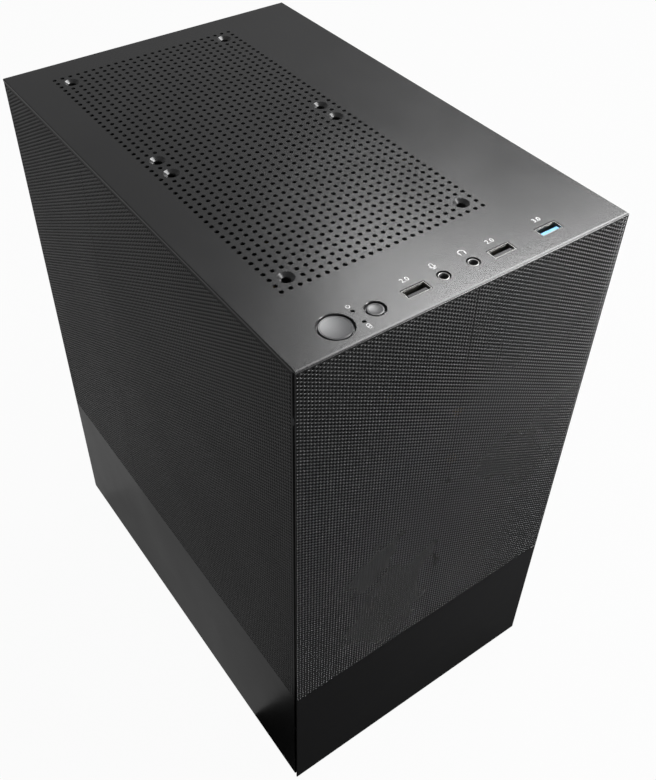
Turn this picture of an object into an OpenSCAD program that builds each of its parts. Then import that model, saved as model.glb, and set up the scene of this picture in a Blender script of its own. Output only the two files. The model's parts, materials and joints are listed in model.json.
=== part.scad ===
/* [Body] */
// Width over the side panels
body_w = 199; // [196:1:230]
// Depth from the front face to the rear edge of the top
body_d = 305.5; // [300:0.5:340]
// Height of the body without its feet
body_h = 376; // [370:1:420]
// Thickness of the sheet steel
sheet = 0.8; // [0.6:0.1:1]
// Depth of the space between the front panel's face and the front frame
cavity_d = 28; // [26:1:40]
// How far the slot guard stands out behind the body
rear_reach = 12; // [11:0.5:16]
// Depth of the folded edge of a side panel
panel_depth = 6; // [5:0.5:8]
// Shadow gap between the front panel and a side panel
front_gap = 1.8; // [1:0.1:3]
// Length of the flanges that the frame sheets lap with
flange = 14; // [10:1:18]
// How far the rolled front edge of the top runs back
roll_run = 1.4; // [0.8:0.1:2]
// Radius of the top's long edges
edge_r = 0.5; // [0.2:0.1:0.7]

/* [Perforation] */
// Pitch of the square grid of holes in the top
top_pitch = 5; // [4.5:0.1:5.2]
// Diameter of the holes in the top
top_hole = 2.5; // [1.5:0.1:3.2]
// Columns of holes in the top
top_cols = 25; // [25:1:25]
// Rows of holes in the top
top_rows = 49; // [49:1:49]
// From the left side to the first column of holes
top_first_x = 24.2; // [18:0.1:30]
// From the front face to the first row of holes
top_first_y = 46.2; // [42:0.1:50]
// Pitch of the staggered holes in the front and the left panel
mesh_pitch = 11.15; // [10:0.05:14]
// Diameter of the holes in the front and the left panel
mesh_hole = 7.6; // [5:0.1:8]
// Height above the floor sheet at which the holes begin
plain_h = 103.5; // [95:0.5:115]
// Pitch of the vent holes in the rear and the floor
vent_pitch = 7; // [6:0.5:9]
// Diameter of the vent holes in the rear and the floor
vent_hole = 5; // [3:0.5:5.5]

/* [Fans] */
// Distance between the screw holes of a fan
fan_holes = 105; // [105:1:105]
// Diameter of the screw holes of a fan
fan_screw = 4.5; // [4:0.1:5]
// Clear diameter of a fan opening
fan_open = 113; // [100:1:115]
// Distance between the centres of two fans on one wall
fan_step = 120; // [120:1:122]
// Diameter of a pressed dimple round a fan screw in the top
dimple_d = 8.7; // [7:0.1:9]
// Depth of a pressed dimple
dimple_h = 1.5; // [1:0.1:2]

/* [Controls] */
// From the front face to the centre line of the buttons and ports
io_y = 13.75; // [13:0.25:14.5]
// From the left side to the power button
power_x = 30; // [28:0.5:32]
// Diameter of the power button's opening
power_open = 17.2; // [15:0.1:17.5]
// From the left side to the reset button
reset_x = 51.3; // [50:0.1:53]
// Diameter of the reset button's opening
reset_open = 10; // [8:0.1:11]
// Gap round a button's cap
button_gap = 0.9; // [0.4:0.1:1.2]
// How far a button's cap lies under the top
button_sunk = 0.3; // [0:0.1:0.8]
// Width of the chamfer round a button's opening
open_chamfer = 0.3; // [0.1:0.1:0.5]
// From the left side to the two lamps
lamp_x = 42.1; // [41:0.1:43]
// Distance of each lamp from the centre line
lamp_off = 4.2; // [3.5:0.1:5]
// From the left side to the first data port
port_1_x = 74.3; // [70:0.1:78]
// From the left side to the microphone jack
mic_x = 91.1; // [89:0.1:93]
// From the left side to the headphone jack
phone_x = 109.1; // [105:0.1:112]
// From the left side to the second data port
port_2_x = 126.1; // [122:0.1:130]
// From the left side to the fast data port
port_3_x = 156.9; // [150:0.1:160]
// Length of a data port's metal shell
port_l = 13.2; // [13:0.1:13.4]
// Width of a data port's metal shell
port_w = 5.9; // [5.7:0.1:6.2]
// Outer diameter of a jack's collar
jack_d = 5.8; // [5.4:0.1:7]
// Bore of a jack
jack_bore = 3.6; // [3.5:0.05:3.7]
// Depth of the circuit board's upper face under the top
board_drop = 13.4; // [13:0.1:15]

/* [Interior] */
// From the mainboard tray's left face to the right side of the body
cable_space = 18.5; // [17.5:0.5:22]
// Height of the standoffs
standoff_h = 6.5; // [6:0.5:8]
// Thread bore of a standoff
standoff_bore = 2.8; // [2.5:0.1:3]
// From the mainboard's upper edge to the top of the body
board_top = 22; // [20:1:26]
// Height of the power supply shroud above the floor sheet's underside
shroud_h = 103; // [100:1:110]
// Width of the power supply
psu_w = 150; // [150:1:150]
// Height of the power supply
psu_h = 86; // [86:1:86]
// Height of the rubber pads under the power supply
psu_pad = 4; // [2:0.5:5]
// Width of the drive cage between its walls
cage_w = 103; // [102:0.5:105]
// Height of the drive cage
cage_h = 66; // [60:1:75]
// Length of the drive cage
cage_l = 125; // [110:1:135]

/* [Underside] */
// Height of a foot
foot_h = 14; // [10:1:20]
// Diameter of a foot
foot_d = 24; // [18:1:25]
// From a side to the centre of a foot
foot_side = 23; // [21:0.5:24]
// From the front or rear edge to a foot
foot_in = 24; // [18:1:25]
// Width of the dust filter under the power supply
filter_w = 124; // [110:1:124]
// Length of the dust filter under the power supply
filter_l = 172; // [150:1:180]
// Thickness of the dust filter's frame
filter_t = 3; // [2.4:0.1:3.5]

/* [Hidden] */
$fn = 48;
eps = 0.01;
seam = 0.2;
slide_gap = 0.4;
half_w = body_w / 2;
tray_x = half_w - cable_space;
angle_w = 5;
foot_x = half_w - foot_side;
y_front = -(body_d + rear_reach) / 2;
y_rear = y_front + body_d;
z_floor = foot_h;
z_top = foot_h + body_h;
z_low = z_floor + sheet;
z_high = z_top - sheet;
hem = 2 * sheet;
roll_drop = sheet * 0.75;
roll_r = (roll_run * roll_run + roll_drop * roll_drop) / (2 * roll_drop);

// Side panels, and the frame rails that they sit against
panel_y = y_front + sheet + front_gap;
panel_z0 = z_floor + 1;
panel_z1 = z_top - hem - slide_gap;
panel_return = 16;
rail_x = half_w - panel_depth - 0.5;
lap_x = rail_x - sheet;
front_y = y_front + cavity_d;
rear_in = y_rear - 2 * sheet;
catch_y = [panel_y + 11, y_rear - 10.4];
catch_z = [z_floor + 42, z_top - 42];
stud_d = 4.6;
catch_bore = stud_d + 0.6;
catch_hole = 9;
catch_flange = 12;

// Mainboard, its standoffs and the slots, measured from its upper rear corner
board_t = 1.6;
board_y = rear_in - sheet / 2 - 1;
board_z = z_top - board_top;
standoff_at = [[6.35, 33.02], [163.83, 10.16], [233.68, 10.16], [6.35, 165.1], [163.83, 165.1],
    [233.68, 165.1], [6.35, 210.82], [163.83, 210.82], [233.68, 210.82]];
board_face_x = tray_x - standoff_h - board_t;
io_w = 44.45;
io_h = 158.75;
io_x1 = board_face_x + 3.81;
io_z1 = board_z + 4.5;
slot_step = 20.32;
slot_n = 4;
slot_z = [for (i = [0 : slot_n - 1]) board_z - 165.3 - slot_step * i];
slot_x1 = board_face_x - 6.9;
slot_x0 = slot_x1 - 100;
slot_open = 13;
ledge_x = slot_x0 - 3;
cover_t = 0.9;
cover_w = 18.4;
rear_fan_x = io_x1 - io_w - 4 - fan_open / 2;
rear_fan_z = io_z1 - fan_open / 2 - 6;

// Front fans and the opening of the power supply
front_fan_z = [z_top - 22 - fan_step / 2, z_top - 22 - fan_step * 1.5];
psu_z = z_low + psu_pad;
shroud_z = z_floor + shroud_h;
cage_y = front_y + 10;
cage_x1 = tray_x;
intake_y = y_rear - 90;
intake_cols = 15;
intake_rows = 17;

// Buttons, switches and ports under the front strip of the top
io_line = y_front + io_y;
board_up = z_top - board_drop;
pcb_t = 1.6;
pcb_end = 12.5;
pcb_l = port_3_x - power_x + 2 * pcb_end;
pcb_w = 19;
pcb_x = (power_x + port_3_x - body_w) / 2;
pcb_screw = pcb_l / 2 - 3.2;
case_wall = 1.5;
case_l = pcb_l + 2 * case_wall + 1;
case_w = pcb_w + 2 * case_wall + 0.6;
case_z = board_up - pcb_t - 4;
switch_h = 4.3;
plunger_top = board_up + switch_h + 3;
screw_d = 3;

// Plain shapes
module slot2d(l, w) {
    square([l - w, w], center = true);
    for (s = [-1, 1]) translate([s * (l - w) / 2, 0]) circle(d = w);
}

module rounded2d(w, h, r) {
    square([w - 2 * r, h], center = true);
    square([w, h - 2 * r], center = true);
    for (i = [-1, 1], j = [-1, 1]) translate([i * (w / 2 - r), j * (h / 2 - r)]) circle(r = r);
}

module box(x0, x1, y0, y1, z0, z1) {
    translate([x0, y0, z0]) cube([x1 - x0, y1 - y0, z1 - z0]);
}

// A flat shape drawn in x and z, cut or raised through y0 to y1
module through_y(y0, y1) {
    translate([0, y1, 0]) rotate([90, 0, 0]) linear_extrude(y1 - y0) children();
}

// A flat shape drawn in y and z, cut or raised through x0 to x1
module through_x(x0, x1) {
    translate([x0, 0, 0]) rotate([90, 0, 90]) linear_extrude(x1 - x0) children();
}

module through_z(z0, z1) {
    translate([0, 0, z0]) linear_extrude(z1 - z0) children();
}

module fan_screw_holes(d) {
    for (i = [-1, 1], j = [-1, 1]) translate([i, j] * fan_holes / 2) circle(d = d);
}

// Staggered round holes that fill a rectangle
module staggered(w, h, pitch, d) {
    step = pitch * sqrt(3) / 2;
    cols = floor((w - d) / step);
    rows = floor((h - d - pitch / 2) / pitch);
    for (i = [0 : cols], j = [0 : rows])
        translate([(i - cols / 2) * step, (j - rows / 2 + (i % 2) / 2 - 0.25) * pitch]) circle(d = d, $fn = 24);
}

// Staggered round holes that fill a circle, without those that would reach the screw holes
module round_vent(outer) {
    step = vent_pitch * sqrt(3) / 2;
    n = ceil(outer / step / 2);
    for (i = [-n : n], j = [-n : n]) {
        x = i * step;
        y = (j + abs(i % 2) / 2) * vent_pitch;
        if (norm([x, y]) < (outer - vent_hole) / 2) translate([x, y]) circle(d = vent_hole, $fn = 24);
    }
}

// A screw along +Z with its head below z = 0
module screw(head_d, head_h, l) {
    difference() {
        union() {
            translate([0, 0, -head_h]) cylinder(d = head_d, h = head_h);
            cylinder(d = screw_d, h = l);
        }
        for (a = [0, 90]) rotate(a) translate([-head_d / 3, -0.35, -head_h - eps]) cube([head_d / 1.5, 0.7, head_h / 2]);
    }
}

module thumbscrew(head_d, head_h, l) {
    difference() {
        union() {
            translate([0, 0, -head_h]) cylinder(d = head_d, h = head_h);
            cylinder(d = screw_d, h = l);
        }
        for (a = [0 : 24 : 359]) rotate(a) translate([head_d / 2, 0, -head_h - eps]) cylinder(d = 0.9, h = head_h * 0.7);
        translate([-head_d / 3, -0.4, -head_h - eps]) cube([head_d / 1.5, 0.8, 0.9]);
    }
}

// Sheet metal frame
module floor_pan() {
    color("dimgray") difference() {
        union() {
            box(-half_w + 0.5, half_w - 0.5, y_front + 6, y_rear, z_floor, z_low);
            for (s = [0, 1]) mirror([s, 0, 0]) {
                box(lap_x - sheet, lap_x, front_y + sheet, rear_in, z_floor, z_floor + flange);
                filter_rail();
            }
            box(-lap_x + sheet, lap_x - sheet, y_rear - sheet, y_rear, z_floor, z_floor + flange);
            box(-lap_x + sheet, lap_x - sheet, y_front + 6, y_front + 6 + sheet, z_floor, z_floor + flange);
        }
        translate([0, intake_y, 0]) through_z(z_floor - 1, z_low + 1)
            staggered(intake_cols * vent_pitch, intake_rows * vent_pitch, vent_pitch, vent_hole);
        for (x = [-foot_x, foot_x], y = [y_front + foot_in, y_rear - foot_in])
            translate([x, y, z_floor - 1]) cylinder(d = screw_d + 0.2, h = sheet + 2);
        for (x = [-40, 40]) translate([x, y_front + 17, 0]) through_z(z_floor - 1, z_low + 1) slot2d(50, 6);
    }
}

module filter_rail() {
    x = filter_w / 2 + slide_gap;
    z = z_floor - filter_t - 2 * slide_gap;
    box(x, x + sheet, y_rear - filter_l, y_rear - 4, z, z_floor + eps);
    box(x - 4, x + sheet, y_rear - filter_l, y_rear - 4, z - sheet, z);
}

module catch_holes(side_y) {
    for (z = catch_z) translate([side_y, z]) circle(d = catch_hole);
}

module front_frame() {
    color("dimgray") difference() {
        union() {
            box(-rail_x, rail_x, front_y, front_y + sheet, z_low, z_top - hem);
            box(-lap_x + 2, lap_x - 2, front_y, front_y + sheet, z_low, z_high);
            box(-lap_x + 2, tray_x - slide_gap, front_y, front_y + flange, z_high - sheet, z_high);
            for (s = [0, 1]) mirror([s, 0, 0]) box(lap_x, rail_x, y_front + 8, front_y + sheet, z_low, z_top - hem);
        }
        through_y(front_y - 1, front_y + 2) {
            for (z = front_fan_z) translate([0, z]) {
                circle(d = fan_open);
                for (i = [-1, 1], j = [-1, 1]) translate([i, j] * fan_holes / 2) slot2d(9, fan_screw);
            }
            translate([0, z_floor + 52]) rounded2d(body_w - 69, 62, 10);
            for (x = [-pin_x, pin_x], z = pin_z) translate([x, z]) circle(d = pin_d + 0.6);
        }
        for (s = [0, 1]) mirror([s, 0, 0]) through_x(lap_x - 1, rail_x + 1) catch_holes(catch_y[0]);
    }
}

module rear_panel() {
    color("dimgray") difference() {
        union() {
            box(-rail_x, rail_x, rear_in, rear_in + sheet, z_low, z_top - hem);
            box(-lap_x + 2, lap_x - 2, rear_in, rear_in + sheet, z_low, z_high);
            for (s = [0, 1]) mirror([s, 0, 0]) box(lap_x, rail_x, y_rear - 20, rear_in + sheet, z_low, z_top - hem);
            box(ledge_x - sheet, ledge_x, rear_in, y_rear + 9, slot_z[slot_n - 1] - 11, slot_z[0] + 11);
        }
        through_y(rear_in - 1, y_rear + 1) {
            translate([io_x1 - io_w / 2, io_z1 - io_h / 2]) square([io_w, io_h], center = true);
            for (z = slot_z) {
                translate([(slot_x0 + slot_x1) / 2, z]) square([slot_x1 - slot_x0, slot_open], center = true);
                translate([ledge_x - sheet - cover_t / 2 - 0.1, z]) square([cover_t + 0.2, cover_w + 0.4], center = true);
            }
            translate([rear_fan_x, rear_fan_z]) {
                round_vent(fan_open);
                fan_screw_holes(fan_screw);
            }
            translate([0, psu_z + psu_h / 2]) {
                rounded2d(psu_w - 20, psu_h - 12, 6);
                for (p = psu_screws) translate(p) circle(d = 4);
            }
            translate([guard_screw_x, guard_screw_z]) circle(d = screw_d + 0.2);
            for (i = [0 : 2], j = [0 : 6]) translate([-84 + 7 * i, slot_z[1] - 28 + 9 * j]) circle(d = vent_hole);
        }
        for (z = slot_z) translate([ledge_x - 3, y_rear + 4.5, z]) rotate([0, 90, 0]) cylinder(d = screw_d + 0.2, h = 6);
        for (s = [0, 1]) mirror([s, 0, 0]) through_x(lap_x - 1, rail_x + 1) catch_holes(catch_y[1]);
    }
}

// The four screws of a standard power supply, from its centre
psu_screws = [[-69, 37], [69, 37], [-69, -27], [45, -37]];

guard_screw_x = ledge_x - 28;
guard_screw_z = slot_z[1] - slot_step / 2;

module dimple_cones(upper) {
    for (x = top_fan_x, y = top_fan_y) translate([x, y, z_top - dimple_h - (upper ? 0 : sheet)])
        if (upper) {
            cylinder(d1 = fan_screw, d2 = dimple_d, h = dimple_h + eps);
            translate([0, 0, -2]) cylinder(d = fan_screw, h = 3);
        } else cylinder(d1 = fan_screw + 2 * sheet, d2 = dimple_d + 2 * sheet, h = dimple_h + eps);
}

top_fan_x = [for (c = [1.5, top_cols - 2.5]) top_first_x + c * top_pitch - half_w];
top_fan_y = [for (r = [1.5, 22.5, 25.5, 46.5]) y_front + top_first_y + r * top_pitch];

// A grid hole is left out where a dimple takes its place
function in_dimple(i, j) = (i == 1 || i == 2 || i == top_cols - 3 || i == top_cols - 2)
    && (j == 1 || j == 2 || j == 22 || j == 23 || j == 25 || j == 26 || j == 46 || j == 47);

module top_cutouts() {
    for (i = [0 : top_cols - 1], j = [0 : top_rows - 1]) if (!in_dimple(i, j))
        translate([top_first_x + i * top_pitch - half_w, y_front + top_first_y + j * top_pitch])
            circle(d = top_hole, $fn = 24);
    translate([-half_w, io_line]) {
        translate([power_x, 0]) circle(d = power_open);
        translate([reset_x, 0]) circle(d = reset_open);
        for (s = [-1, 1]) translate([lamp_x, s * lamp_off]) circle(d = lamp_d + 0.2);
        for (x = [port_1_x, port_2_x, port_3_x]) translate([x, 0]) rounded2d(port_l + 0.8, port_w + 0.8, 0.5);
        for (x = [mic_x, phone_x]) translate([x, jack_dy]) circle(d = jack_d + 1.2);
    }
}

module top_panel() {
    color("dimgray") difference() {
        union() {
            box(-half_w, half_w, y_front, y_rear, z_high, z_top);
            for (s = [0, 1]) mirror([s, 0, 0]) {
                box(lap_x - sheet, half_w, panel_y, y_rear, z_top - hem, z_high + eps);
                box(lap_x - sheet, lap_x, front_y + sheet, rear_in, z_top - flange, z_high + eps);
            }
            box(-lap_x + sheet, lap_x - sheet, y_rear - sheet, y_rear, z_top - flange, z_high + eps);
            dimple_cones(false);
        }
        through_z(z_top - 3, z_top + 1) top_cutouts();
        dimple_cones(true);
        for (b = [[power_x, power_open], [reset_x, reset_open]])
            translate([b[0] - half_w, io_line, z_top - open_chamfer])
                cylinder(d1 = b[1], d2 = b[1] + 2 * (open_chamfer + eps), h = open_chamfer + eps);
        translate([0, y_front, z_top]) rotate([90, 0, 90]) linear_extrude(body_w + 2, center = true) difference() {
            translate([-1, -roll_drop]) square([1 + roll_run, 2]);
            translate([roll_run, -roll_r]) circle(r = roll_r);
        }
        for (s = [0, 1]) mirror([s, 0, 0]) through_y(y_front - 1, y_rear + 1) translate([half_w, z_top]) difference() {
            translate([-edge_r, -edge_r]) square(edge_r + 1);
            translate([-edge_r, -edge_r]) circle(r = edge_r);
        }
    }
}

// Interior sheet parts
module mainboard_tray() {
    color("dimgray") difference() {
        box(tray_x, tray_x + sheet, front_y + sheet, rear_in, z_low, z_high);
        through_x(tray_x - 1, tray_x + sheet + 1) {
            translate([board_y - 88, board_z - 88]) rounded2d(130, 116, 12);
            for (z = [board_z - 40, board_z - 120, board_z - 200]) translate([front_y + 18, z]) rotate(90) slot2d(56, 16);
            for (y = [board_y - 70, board_y - 150]) translate([y, shroud_z + 5]) slot2d(44, 10);
            translate([cage_y + cage_w / 2 + sheet, z_low + cage_h / 2]) rounded2d(cage_w + 2.4, cage_h - 4, 3);
            translate([y_rear - 85, z_low + 45]) rounded2d(psu_w - 40, 60, 10);
            for (p = standoff_at) translate([board_y - p[0], board_z - p[1]]) circle(d = screw_d + 0.2);
            translate([bracket_y, bracket_z]) circle(d = screw_d + 0.2);
        }
    }
}

// Angles that hold the edges of the tray to the front frame and the rear panel
module tray_angles() {
    x = tray_x + sheet;
    color("dimgray") for (y = [front_y + sheet, rear_in - angle_w]) {
        box(x, x + sheet, y, y + angle_w, z_low + 20, z_high - 20);
        if (y < 0) box(x, x + angle_w, y, y + sheet, z_low + 20, z_high - 20);
        else box(x, x + angle_w, rear_in - sheet, rear_in, z_low + 20, z_high - 20);
    }
}

module psu_shroud() {
    x0 = -lap_x + sheet;
    color("dimgray") difference() {
        union() {
            box(x0, tray_x, front_y + sheet, rear_in, shroud_z - sheet, shroud_z);
            box(x0, x0 + sheet, front_y + sheet, rear_in, z_low, shroud_z);
        }
        through_z(shroud_z - 2, shroud_z + 1) {
            translate([0, front_y + 16]) square([2 * (tray_x - 15), 2 * 16], center = true);
            for (y = [y_rear - 60, y_rear - 130]) translate([tray_x - 20, y]) rounded2d(24, 56, 8);
            translate([-22, intake_y]) staggered(14 * vent_pitch, 12 * vent_pitch, vent_pitch, vent_hole);
        }
        through_x(x0 - 1, x0 + 2) translate([catch_y[1], catch_z[0]]) circle(d = catch_flange + 3);
    }
}

module drive_cage() {
    x0 = cage_x1 - cage_l;
    y1 = cage_y + cage_w + 2 * sheet;
    color("dimgray") difference() {
        union() {
            box(x0, cage_x1, cage_y, y1, z_low + cage_h - sheet, z_low + cage_h);
            for (y = [cage_y, y1 - sheet]) box(x0, cage_x1, y, y + sheet, z_low, z_low + cage_h);
            box(x0, cage_x1, cage_y - 8, cage_y + sheet, z_low, z_low + sheet);
            box(x0, cage_x1, y1 - sheet, y1 + 8, z_low, z_low + sheet);
            for (z = [4, 34], x = [x0 + 8, x0 + cage_l / 2 - 12, cage_x1 - 32]) {
                box(x, x + 24, cage_y, cage_y + 5, z_low + z, z_low + z + sheet);
                box(x, x + 24, y1 - 5, y1, z_low + z, z_low + z + sheet);
            }
        }
        through_y(cage_y - 1, y1 + 1)
            for (z = [12, 42], x = [x0 + 22, x0 + 82]) translate([x, z_low + z]) slot2d(14, 3.6);
        translate([x0 + cage_l / 2, (cage_y + y1) / 2, 0]) through_z(z_low + cage_h - 2, z_low + cage_h + 1)
            for (i = [-2 : 2]) translate([i * 20, 0]) rotate(90) slot2d(cage_w - 24, 9);
    }
}

bracket_y = board_y - 196;
bracket_z = board_z - 60;

module ssd_bracket() {
    x = tray_x + sheet;
    color("dimgray") difference() {
        union() {
            box(x, x + sheet, bracket_y - 12, bracket_y + 44, bracket_z - 100, bracket_z + 10);
            for (y = [bracket_y - 12, bracket_y + 44 - sheet]) box(x, x + 5, y, y + sheet, bracket_z - 100, bracket_z + 10);
        }
        through_x(x - 1, x + sheet + 1) {
            translate([bracket_y, bracket_z]) circle(d = screw_d + 0.2);
            translate([bracket_y + 16, bracket_z - 45]) rounded2d(30, 60, 6);
            for (dy = [-6, 38], dz = [-93, -16.4]) translate([bracket_y + dy, bracket_z + dz]) circle(d = 3.2);
        }
    }
}

module bracket_thumbscrew() {
    color("silver") translate([tray_x + 2 * sheet, bracket_y, bracket_z]) rotate([0, -90, 0]) thumbscrew(9, 5, 2 * sheet + 3);
}

module standoffs() {
    color("goldenrod") for (p = standoff_at) translate([tray_x, board_y - p[0], board_z - p[1]]) rotate([0, -90, 0])
        difference() {
            union() {
                cylinder(d = 6, h = standoff_h, $fn = 6);
                translate([0, 0, -sheet - 1.5]) cylinder(d = screw_d, h = sheet + 1.6);
            }
            translate([0, 0, 0.6]) cylinder(d = standoff_bore, h = standoff_h);
        }
}

// Side panels are folded pans with a return flange all round
module side_pan() {
    difference() {
        box(-half_w, -half_w + panel_depth, panel_y, y_rear, panel_z0, panel_z1);
        box(-half_w + sheet, -half_w + panel_depth - sheet, panel_y + sheet, y_rear - sheet, panel_z0 + sheet, panel_z1 - sheet);
        box(-half_w + sheet, -half_w + panel_depth + 1, panel_y + panel_return, y_rear - panel_return,
            panel_z0 + panel_return / 2, panel_z1 - panel_return / 2);
    }
}

mesh_z0 = z_floor + plain_h;

module left_side_panel() {
    color("dimgray") difference() {
        side_pan();
        through_x(-half_w - 1, -half_w + sheet + 0.5)
            translate([(panel_y + y_rear) / 2, (mesh_z0 + panel_z1) / 2])
                staggered(y_rear - panel_y - 8, panel_z1 - mesh_z0 - 2, mesh_pitch, mesh_hole);
    }
}

module right_side_panel() {
    color("dimgray") mirror([1, 0, 0]) side_pan();
}

// A ball stud riveted to the return flange, pointing at the frame
module stud() {
    rotate([0, 90, 0]) {
        cylinder(d = 7, h = 0.4);
        cylinder(d = 2.8, h = 7);
        translate([0, 0, 4.4]) sphere(d = stud_d);
    }
}

module left_panel_studs() {
    color("silver") for (y = catch_y, z = catch_z) translate([-half_w + panel_depth, y, z]) stud();
}

module right_panel_studs() {
    color("silver") mirror([1, 0, 0]) for (y = catch_y, z = catch_z) translate([-half_w + panel_depth, y, z]) stud();
}

module ball_catches() {
    color("black") for (s = [0, 1], y = catch_y, z = catch_z) mirror([s, 0, 0]) translate([-rail_x, y, z]) rotate([0, 90, 0])
        difference() {
            union() {
                cylinder(d = catch_hole - 0.1, h = 7);
                translate([0, 0, sheet]) cylinder(d = catch_flange, h = 1.4);
            }
            translate([0, 0, -1]) cylinder(d = catch_bore, h = 10);
        }
}

// Front panel
frame_x = half_w - 15.5;
frame_z0 = z_floor + flange + 2;
frame_z1 = z_top - 32;
frame_wall = 2.4;
frame_deep = 15;
pin_d = 6;
pin_x = frame_x - 6;
pin_z = [frame_z0 + 14, (frame_z0 + frame_z1) / 2, frame_z1 - 14];

module front_panel() {
    color("dimgray") difference() {
        box(-half_w, half_w, y_front, y_front + sheet, z_floor, z_high - seam);
        through_y(y_front - 1, y_front + sheet + 1) translate([0, (mesh_z0 + z_top - 3.4) / 2])
            staggered(body_w - 4, z_top - 3.4 - mesh_z0, mesh_pitch, mesh_hole);
    }
}

module front_panel_frame() {
    y0 = y_front + sheet;
    color("black") difference() {
        union() {
            difference() {
                box(-frame_x, frame_x, y0, y0 + frame_deep, frame_z0, frame_z1);
                box(-frame_x + frame_wall, frame_x - frame_wall, y0 - 1, y0 + frame_deep + 1,
                    frame_z0 + frame_wall, frame_z1 - frame_wall);
            }
            for (s = [-1, 1], z = pin_z) translate([s * pin_x, y0, z]) rotate([-90, 0, 0]) {
                cylinder(d = 10, h = front_y - slide_gap / 2 - y0);
                cylinder(d = pin_d, h = front_y - y0 + 4);
                translate([0, 0, front_y - y0 + 4]) cylinder(d1 = pin_d, d2 = 3, h = 2);
            }
            box(-frame_x + 1, frame_x - 1, y0, y0 + 3, mesh_z0 - 5, mesh_z0 - 5 + frame_wall);
        }
        for (s = [-1, 1], z = pin_z) translate([s * pin_x - 0.5, front_y - 3, z - 6]) cube([1, 14, 12]);
    }
}

// Buttons and the small circuit board under the top
lamp_d = 1.9;
jack_dy = 0.8;
rim_gap = 1;

module io_housing() {
    x0 = pcb_x - case_l / 2;
    y0 = io_line - case_w / 2;
    color("black") difference() {
        union() {
            difference() {
                box(x0, x0 + case_l, y0, y0 + case_w, case_z, z_high);
                box(x0 + case_wall, x0 + case_l - case_wall, y0 + case_wall, y0 + case_w - case_wall, case_z + case_wall, z_high + 1);
            }
            for (s = [-1, 1]) translate([pcb_x + s * pcb_screw, io_line, case_z]) cylinder(d = 7, h = board_up - pcb_t - case_z);
            for (s = [-1, 0, 1]) box(pcb_x + s * 40 - 1, pcb_x + s * 40 + 1, y0, y0 + case_w, case_z, board_up - pcb_t);
        }
        for (s = [-1, 1]) translate([pcb_x + s * pcb_screw, io_line, case_z - 1]) cylinder(d = screw_d + 0.2, h = 20);
        box(pcb_x + 20, pcb_x + 36, y0 - 1, y0 + case_w + 1, case_z - 1, case_z + case_wall);
    }
}

module io_board() {
    color("darkgreen") difference() {
        box(pcb_x - pcb_l / 2, pcb_x + pcb_l / 2, io_line - pcb_w / 2, io_line + pcb_w / 2, board_up - pcb_t, board_up);
        for (s = [-1, 1]) translate([pcb_x + s * pcb_screw, io_line, board_up - 3]) cylinder(d = screw_d + 0.2, h = 5);
    }
}

module io_screws() {
    color("silver") for (s = [-1, 1]) translate([pcb_x + s * pcb_screw, io_line, case_z]) screw(5.5, 1.8, 8);
}

// A cap with a rounded rim, a collar that stays under the top, and a stem on its switch
module button(open_d, stem_d, collar) {
    cap_r = open_d / 2 - button_gap;
    top = z_top - button_sunk;
    rotate_extrude() {
        translate([0, z_high - 2.2]) square([cap_r, top - z_high + 2.2 - 1]);
        translate([0, top - 1]) square([cap_r - 1, 1]);
        translate([cap_r - 1, top - 1]) intersection() { circle(r = 1); square(2); }
        translate([0, z_high - rim_gap - 1.2]) square([open_d / 2 + collar, 1.2]);
        translate([0, plunger_top]) square([stem_d / 2, z_high - plunger_top]);
    }
}

module power_button() {
    color("dimgray") translate([power_x - half_w, io_line, 0]) button(power_open, 6, 0.7);
}

module reset_button() {
    color("dimgray") translate([reset_x - half_w, io_line, 0]) difference() {
        button(reset_open, 3.2, 0.9);
        translate([0, 0, z_top - button_sunk]) rotate_extrude() translate([reset_open / 2 - button_gap - 1.1, 0]) circle(d = 0.5, $fn = 24);
    }
}

module tact_switch(side, bore) {
    difference() {
        translate([-side / 2, -side / 2, board_up]) cube([side, side, switch_h]);
        translate([0, 0, board_up + 1]) cylinder(d = bore, h = switch_h);
    }
}

module tact_plunger(d) {
    translate([0, 0, board_up + 2.4]) cylinder(d = d, h = plunger_top - board_up - 2.4);
}

module power_switch() { color("black") translate([power_x - half_w, io_line, 0]) tact_switch(12, 6.8); }
module power_plunger() { color("white") translate([power_x - half_w, io_line, 0]) tact_plunger(6.6); }
module reset_switch() { color("black") translate([reset_x - half_w, io_line, 0]) tact_switch(6, 3.8); }
module reset_plunger() { color("white") translate([reset_x - half_w, io_line, 0]) tact_plunger(3.6); }

module lamp(s) {
    translate([lamp_x - half_w, io_line + s * lamp_off, board_up]) {
        cylinder(d = lamp_d + 0.8, h = 1.2);
        cylinder(d = lamp_d, h = board_drop - lamp_d / 2 - 0.6);
        translate([0, 0, board_drop - lamp_d / 2 - 0.6]) sphere(d = lamp_d);
    }
}

module power_lamp() { color("lightgray") lamp(1); }
module drive_lamp() { color("lightgray") lamp(-1); }

shell_t = 0.35;
tongue_t = 1.9;

module port_shell(x) {
    h = board_drop - 1;
    color("silver") translate([x - half_w, io_line, board_up]) difference() {
        linear_extrude(h) rounded2d(port_l, port_w, 0.5);
        translate([0, 0, -1]) linear_extrude(h + 2) rounded2d(port_l - 2 * shell_t, port_w - 2 * shell_t, 0.3);
        for (s = [-1, 1]) translate([s * 3, 0, h - 5.2]) cube([1.8, port_w + 2, 2.2], center = true);
    }
}

module port_tongue(x, tint) {
    color(tint) translate([x - half_w, io_line, board_up]) {
        linear_extrude(3.6) rounded2d(port_l - 2 * shell_t, port_w - 2 * shell_t, 0.3);
        translate([-5.55, -port_w / 2 + shell_t + 0.55, 3]) cube([11.1, tongue_t, board_drop - 5.2]);
    }
}

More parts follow.
